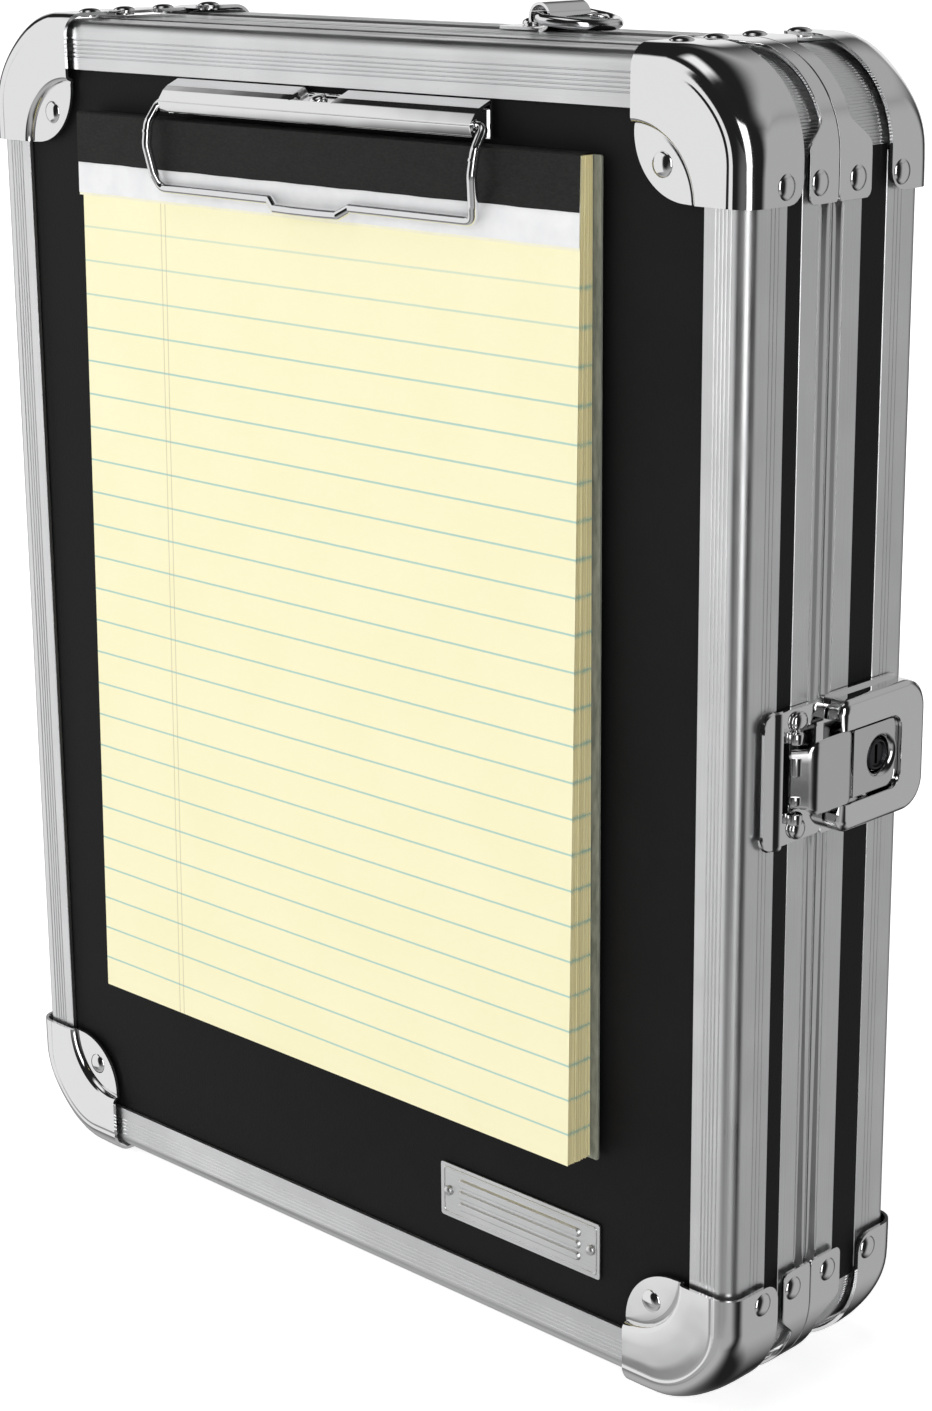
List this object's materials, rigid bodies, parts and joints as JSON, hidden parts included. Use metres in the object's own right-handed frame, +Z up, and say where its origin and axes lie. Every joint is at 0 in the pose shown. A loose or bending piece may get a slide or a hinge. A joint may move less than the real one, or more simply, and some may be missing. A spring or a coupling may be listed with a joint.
{
  "type": "storage clipboard",
  "caption": "Hinged, aluminium-edged storage clipboard: a front tray with a sprung wire clip and ruled pad swings from a latched back tray with a carrying ring.",
  "frame": {"origin": "middle of the underside of the box round the whole object, standing upright and closed", "axes": "+Z up, -Y out of the front panel that carries the pad, +X towards the latch, -X towards the hinge"},
  "size_m": [0.288, 0.0784, 0.349],
  "materials": {
    "aluminium": "satin anodised, fine lines along its length",
    "chrome": "bright nickel-chrome plate on pressed steel",
    "black_board": "black laminate with a fine pebbled grain on hardboard",
    "yellow_paper": "pale yellow writing paper with blue-green rules",
    "grey_board": "grey-green chipboard",
    "steel": "plain bright steel",
    "dark_steel": "blackened steel"
  },
  "bodies": {
    "base": {"base_panel": "black_board", "base_rim": "aluminium", "base_edge_right": "aluminium", "base_edge_top": "aluminium", "base_edge_left": "aluminium", "base_edge_bottom": "aluminium", "base_wall_right": "black_board", "base_wall_top": "black_board", "base_wall_left": "black_board", "base_wall_bottom": "black_board", "base_post_tr": "aluminium", "base_post_tl": "aluminium", "base_post_br": "aluminium", "base_post_bl": "aluminium", "base_corner_tr": "chrome", "base_corner_tl": "chrome", "base_corner_br": "chrome", "base_corner_bl": "chrome", "base_strap_tr": "chrome", "base_strap_tl": "chrome", "base_strap_br": "chrome", "base_strap_bl": "chrome", "lock_bezel": "chrome", "ring_bracket": "chrome", "hinge_base_leaf": "steel", "hinge_pin": "steel"},
    "lid": {"lid_panel": "black_board", "lid_rim": "aluminium", "lid_edge_right": "aluminium", "lid_edge_top": "aluminium", "lid_edge_left": "aluminium", "lid_edge_bottom": "aluminium", "lid_wall_right": "black_board", "lid_wall_top": "black_board", "lid_wall_left": "black_board", "lid_wall_bottom": "black_board", "lid_post_tr": "aluminium", "lid_post_tl": "aluminium", "lid_post_br": "aluminium", "lid_post_bl": "aluminium", "lid_corner_tr": "chrome", "lid_corner_tl": "chrome", "lid_corner_br": "chrome", "lid_corner_bl": "chrome", "lid_strap_tr": "chrome", "lid_strap_tl": "chrome", "lid_strap_br": "chrome", "lid_strap_bl": "chrome", "clip_plate": "chrome", "clip_spring": "steel", "nameplate": "aluminium", "hasp_plate": "chrome", "hinge_lid_leaf": "steel"},
    "bail": {"clip_wire": "chrome"},
    "pad": {"pad_sheets": "yellow_paper", "pad_backing": "grey_board"},
    "hasp": {"hasp": "chrome"},
    "slider": {"lock_slider": "chrome"},
    "key": {"key_cylinder": "dark_steel"},
    "ring": {"d_ring": "chrome"}
  },
  "joints": [
    {"name": "lid_hinge", "type": "hinge", "parent": "base", "child": "lid", "pos_m": [-0.1421, 0.00264, 0.1723], "axis": [0, 0, -1], "range_deg": [0, 175]},
    {"name": "bail_pivot", "type": "hinge", "parent": "lid", "child": "bail", "pos_m": [-0.0015, -0.03296, 0.323], "axis": [-1, 0, 0], "range_deg": [0, 90], "stiffness_Nm_per_rad": 0.08, "springref_deg": -28.65},
    {"name": "pad_slide", "type": "slide", "parent": "lid", "child": "pad", "axis": [0, 0, -1], "range_m": [0, 0.022]},
    {"name": "hasp_hinge", "type": "hinge", "parent": "lid", "child": "hasp", "pos_m": [0.1398, -0.01036, 0.1707], "axis": [0, 0, -1], "range_deg": [0, 100]},
    {"name": "lock_slide", "type": "slide", "parent": "base", "child": "slider", "axis": [0, 1, 0], "range_m": [0, 0.0045], "stiffness_N_per_m": 200, "springref_m": -0.003},
    {"name": "key_turn", "type": "hinge", "parent": "slider", "child": "key", "pos_m": [0.1385, 0.02024, 0.1703], "axis": [1, 0, 0], "range_deg": [0, 90]},
    {"name": "ring_swing", "type": "hinge", "parent": "base", "child": "ring", "pos_m": [0.0345, 0.02054, 0.346], "axis": [0, -1, 0], "range_deg": [0, 180]}
  ]
}
